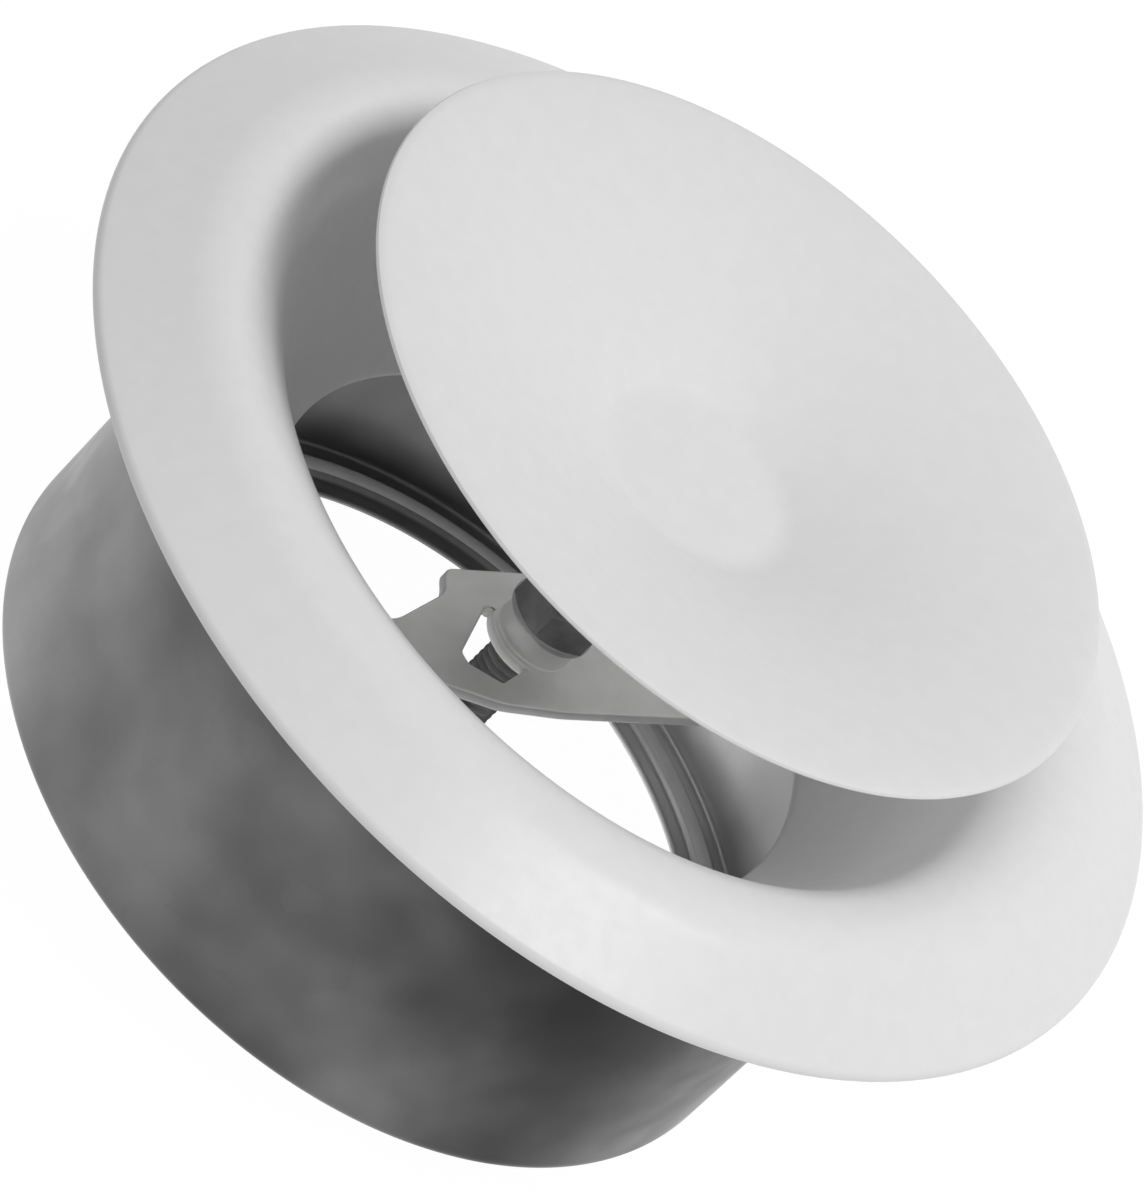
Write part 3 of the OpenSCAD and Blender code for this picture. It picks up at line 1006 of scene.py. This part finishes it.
@dataclass
class BridgeAndClips(Assembly):
    """Flat bridge, spring clips, and the rivets that hold both to the ring, in millimetres.

    Attributes:
        head_r: Radius of a rivet's head.
        head_h: Height of a rivet's head.
        dome_points: Points on the curve of a head.
        bridge_deg: Direction of the bridge's wide arm.
        bridge_edge: Radius of the rounded edge of the strap.
        boss_r: Outer radius of the drawn collar round the bore.
        boss_turn: Softening of that collar's corners.
        boss_foot: Where the collar's turn ends beside its wall, in boss_turn.
        window_gap: Where the window may begin beside that wall, in boss_turn.
        seat_gap: Gap between the collar's top and the washer on it.
        outline: Corners of the bridge, its wide arm towards +X.
        window: Corners of the window beside the spindle.
        outline_turn: Cut at the outline's corners; window_turn and clip_turn likewise.
        turn_points: Points on each of those turns; clip_points on a clip's.
        window_parts: Parts of each side of the window.
        leaf: Corners of a clip's section in R and Z of the row frame.
    """

    rivet_r: float = 1.5
    head_r: float = 2.1
    head_h: float = 0.9
    dome_points: int = 9
    rivet_angles: int = 40
    bridge_rivets: tuple[str, ...] = ("far_left", "far_right", "near")
    bridge_deg: float = 57.0
    bridge_wall: float = 1.5
    bridge_edge: float = 0.28
    boss_r: float = 4.6
    bore_r: float = 3.05
    boss_turn: float = 0.3
    boss_foot: float = 1.4
    window_gap: float = 1.5
    seat_gap: float = 0.02
    boss_angles: int = 96
    outline: tuple[tuple[float, float], ...] = (
        (40.42, 5.35), (37.22, 8.55), (-8.8, 8.55), (-10.3, 5.25), (-19, 1.4), (-40.42, 1.4),
        (-40.42, -6.2), (-19, -6.2), (-11, -8.65), (-8.8, -9.35), (0, -10.05), (37.22, -10.05),
        (40.42, -6.85),
    )
    window: tuple[tuple[float, float], ...] = (
        (-3, 2.5), (-2, -3.8), (-7.6, -6.5), (-11.4, -4.1), (-11.7, -2.6), (-5.3, 3.6),
    )
    clips: tuple[tuple[str, float], ...] = (("left", 220.0), ("right", 340.0), ("far", 100.0))
    outline_turn: float = 1.2
    window_turn: float = 0.5
    clip_turn: float = 0.5
    turn_points: int = 6
    clip_points: int = 5
    window_parts: int = 8
    clip_w: float = 9.0
    clip_edge: float = 0.12
    leaf: tuple[tuple[float, float], ...] = (
        (35.52, 29.5), (41.92, 29.5), (48.25, 37.7), (48.25, 40.5), (44.84, 44.0), (44.24, 44.0),
        (47.65, 40.3), (47.65, 37.9), (41.32, 30.7), (41.32, 30.1), (35.52, 30.1),
    )

    def strap(self) -> Surface:
        """The bridge's surface, before its two faces are capped.

        It is the rounded edge of the outline, that of the window, and the drawn
        collar: a section turned about the spindle's axis that leaves the upper face
        in a small turn, rises, goes over the rim and down through the bore. Window
        points that would lie inside the collar are moved out to its foot.

        Returns:
            The points about the axis, and the quads.
        """
        low, high = (c.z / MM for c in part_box("bridge"))
        upper, edge = low + self.bridge_wall, self.bridge_edge
        outer = softened(np.array(self.outline), self.outline_turn, self.turn_points)
        window = softened(np.array(self.window), self.window_turn, self.turn_points)
        share = np.linspace(0, 1, self.window_parts, endpoint=False)[None, :, None]
        ahead = np.roll(window, -1, axis=0)
        window = (window[:, None] * (1 - share) + ahead[:, None] * share).reshape(-1, 2)
        nearest = self.boss_r + self.boss_turn * self.window_gap + edge * FLAT_RIM
        window *= np.maximum(1, nearest / np.linalg.norm(window, axis=1, keepdims=True))
        foot, seat = self.boss_turn * self.boss_foot, high - self.seat_gap
        outside = [[self.boss_r + foot, upper], [self.boss_r, upper], [self.boss_r, seat]]
        inside = [[self.bore_r, seat], [self.bore_r, low], [self.bore_r + foot, low]]
        section = np.array(outside + inside)
        collar = softened(section, self.boss_turn, self.turn_points, closed=False)
        around = turned(collar, self.boss_angles, closed=False)
        rims = [sheet_edge(loop, low, upper, edge) for loop in (outer, window)]
        return joined([*rims, around])

    def clip(self, place: str, turn_deg: float) -> None:
        """Build one spring clip: its section's rounded edge, capped on both sides.

        Args:
            place: Ending of the clip's name.
            turn_deg: Direction of the clip from the axis.
        """
        half = self.clip_w / 2
        section = softened(np.array(self.leaf), self.clip_turn, self.clip_points)
        points, faces = sheet_edge(section, -half, half, self.clip_edge, 3)
        stand = Matrix(((1, 0, 0), (0, 0, -1), (0, 1, 0))).to_4x4()
        spin = Matrix.Rotation(math.radians(turn_deg), 4, "Z")
        leaf = make_piece(f"clip_leaf_{place}", points, faces, spin @ stand)
        self.stand_for(leaf, Body.INSERT, f"clip_{place}")
        self.dress(leaf, SPRING_STRIP, Slot.SPRING)

    def rivet(self, node: str, name: str) -> None:
        """Build one rivet with domed heads, in the place of its CAD node.

        The half section is the upper head's quarter ellipse, the shank, and the
        lower head's quarter ellipse, turned about the rivet's own axis.

        Args:
            node: The CAD node.
            name: Name of the new piece.
        """
        low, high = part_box(node)
        centre = (low + high) / 2
        half = (high.z - low.z) / 2 / MM
        a = np.linspace(0, math.pi / 2, self.dome_points)
        dome = np.column_stack([self.head_r * np.sin(a), half - self.head_h * (1 - np.cos(a))])
        neck = np.array([[self.rivet_r, half - self.head_h]])
        upper = np.vstack([dome, neck])
        section = np.vstack([upper, (upper * [1, -1])[::-1]])
        shape = turned(section, self.rivet_angles, closed=False)
        piece = make_piece(name, *shape, Matrix.Translation(centre))
        self.stand_for(piece, Body.INSERT, node)
        self.dress(piece, RIVET_METAL, Slot.RIVET)

    def build(self) -> None:
        """Build and dress the bridge, the clips and all the rivets."""
        spin = Matrix.Rotation(math.radians(self.bridge_deg), 4, "Z")
        bridge = make_piece("bridge_strap", *self.strap(), spin)
        self.stand_for(bridge, Body.INSERT, "bridge")
        self.dress(bridge, BRIDGE_SHEET, Slot.BRIDGE_SHEET)
        for place in self.bridge_rivets:
            self.rivet(f"bridge_rivet_{place}", f"strap_rivet_{place}")
        for place, turn_deg in self.clips:
            self.clip(place, turn_deg)
            self.rivet(f"clip_rivet_{place}", f"leaf_rivet_{place}")


# Studio


@dataclass
class Studio:
    """Camera as in the photograph, a pale floor and soft light from above.

    Attributes:
        tilt_deg: Angle between the valve's axis and the line of sight.
        roll_deg: Turn of the camera about the line of sight.
        distance: Camera to the ring's wall plane, in ring radii.
        aside: How far the line of sight passes beside that point, in ring radii.
        focal_px: Focal length in pixels of the full image.
        image_h: Height of the full image in pixels, its longer side.
        sensor_mm: Sensor width, which belongs to the longer side.
        key_power: Watts of the key light.
        key_size: Its length along X and its width in metres.
        key_distance: Its distance in metres.
        key_from: Direction from the object to its middle.
        sky: Strength of the even light from all round.
        bounce: Strength of the even light that the white sweep sends up.
        floor_half: Half the floor's side in metres.
        floor_gap: Gap between the floor and the object in metres.
        floor_grey: How much light the floor gives back to the object.
        floor_seen: Strength of the floor's white as it is seen.
        floor_shade: How much of the object's shadow shows on that white.
        flange_mm: Thickness of the collar's flange over the wall plane.
        clip_m: Nearest and farthest distance that the camera sees.
    """

    tilt_deg: float = 54.28
    roll_deg: float = -45.38
    distance: float = 12.0
    aside: tuple[float, float] = (0.0960, 0.0975)
    focal_px: float = 7712.0
    image_h: int = 1200
    sensor_mm: float = 36.0
    key_power: float = 9.6
    key_size: tuple[float, float] = (0.7, 0.32)
    key_distance: float = 1.2
    key_from: tuple[float, float, float] = (0.32, -0.04, 0.95)
    sky: float = 0.33
    bounce: float = 0.45
    floor_half: float = 3.0
    floor_gap: float = 0.0002
    floor_grey: float = 0.6
    floor_seen: float = 0.98
    floor_shade: float = 0.05
    flange_mm: float = 0.8
    clip_m: tuple[float, float] = (0.01, 20.0)

    def aim(self) -> None:
        """Create the camera, turned by the tilt about X and then rolled."""
        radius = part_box("valve_ring")[1].x
        target = Vector((0, 0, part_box("mounting_collar")[1].z - self.flange_mm * MM))
        tilt = Matrix.Rotation(math.radians(self.tilt_deg), 4, "X")
        turn = tilt @ Matrix.Rotation(-math.radians(self.roll_deg), 4, "Z")
        away = Vector((-self.aside[0], -self.aside[1], self.distance)) * radius
        data = bpy.data.cameras.new("photo_view")
        data.sensor_width, data.lens = self.sensor_mm, self.focal_px * self.sensor_mm / self.image_h
        data.clip_start, data.clip_end = self.clip_m
        camera = bpy.data.objects.new("photo_view", data)
        bpy.context.scene.collection.objects.link(camera)
        camera.matrix_world = Matrix.Translation(target) @ turn @ Matrix.Translation(away)
        bpy.context.scene.camera = camera

    def seen(self, tree: Tree) -> Socket:
        """1 for camera, glossy and transmission rays, so that metal shows the same white.

        Args:
            tree: The node tree.

        Returns:
            The share's socket.
        """
        path = add(tree, "ShaderNodeLightPath").outputs
        rays = [path[f"Is {kind} Ray"] for kind in ("Camera", "Glossy", "Transmission")]
        return calc(tree, "MAXIMUM", calc(tree, "MAXIMUM", rays[0], rays[1]), rays[2])

    def floor(self) -> None:
        """A pale floor that looks white and still takes the object's shadow."""
        mesh = bpy.data.meshes.new("floor")
        half, z = self.floor_half, -self.floor_gap
        corners = [(-half, -half, z), (half, -half, z), (half, half, z), (-half, half, z)]
        mesh.from_pydata(corners, [], [(0, 1, 2, 3)])
        floor = bpy.data.objects.new("floor", mesh)
        bpy.context.scene.collection.objects.link(floor)
        material = bpy.data.materials.new("pale_floor")
        material.use_nodes = True
        tree = material.node_tree
        tree.nodes.clear()
        either = {0: self.seen(tree)}
        tones = (self.floor_grey, self.bounce), (self.floor_shade, self.floor_seen)
        for side, (grey, glow) in enumerate(tones, 1):
            matt = add(tree, "ShaderNodeBsdfDiffuse", {"Color": (grey, grey, grey, 1)})
            lit = add(tree, "ShaderNodeEmission", {"Color": WHITE, "Strength": glow})
            both = add(tree, "ShaderNodeAddShader", {0: matt.outputs[0], 1: lit.outputs[0]})
            either[side] = both.outputs[0]
        mix = add(tree, "ShaderNodeMixShader", either)
        add(tree, "ShaderNodeOutputMaterial", {0: mix.outputs[0]})
        mesh.materials.append(material)

    def light(self) -> None:
        """An even sky, white where it is seen, and one large lamp above the face."""
        world = bpy.data.worlds.new("sky")
        bpy.context.scene.world = world
        world.use_nodes = True
        tree = world.node_tree
        tree.nodes.clear()
        sky = add(tree, "ShaderNodeBackground", {"Color": WHITE, "Strength": self.sky})
        white = add(tree, "ShaderNodeBackground", {"Color": WHITE, "Strength": 1.0})
        either = {0: self.seen(tree), 1: sky.outputs[0], 2: white.outputs[0]}
        mix = add(tree, "ShaderNodeMixShader", either)
        add(tree, "ShaderNodeOutputWorld", {0: mix.outputs[0]})
        data = bpy.data.lights.new("key", "AREA")
        data.energy, data.shape = self.key_power, "RECTANGLE"
        data.size, data.size_y = self.key_size
        key = bpy.data.objects.new("key", data)
        toward = Vector(self.key_from).normalized()
        key.location = toward * self.key_distance
        key.rotation_euler = toward.to_track_quat("Z", "Y").to_euler()
        bpy.context.scene.collection.objects.link(key)

    def build(self) -> None:
        """Set up the camera, floor and light."""
        bpy.context.scene.view_settings.view_transform = "Standard"
        self.aim()
        self.floor()
        self.light()


def main() -> None:
    """Load the frame, build and dress every sub-assembly, and light it."""
    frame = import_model()
    nodes = frame["nodes"]
    for kind in (MountingCollar, ValveRing, DiscAndSpindle, LockNut, BridgeAndClips):
        log.info("-- %s", kind.__name__)
        kind(nodes).build()
    Studio().build()


if __name__ == "__main__":
    main()
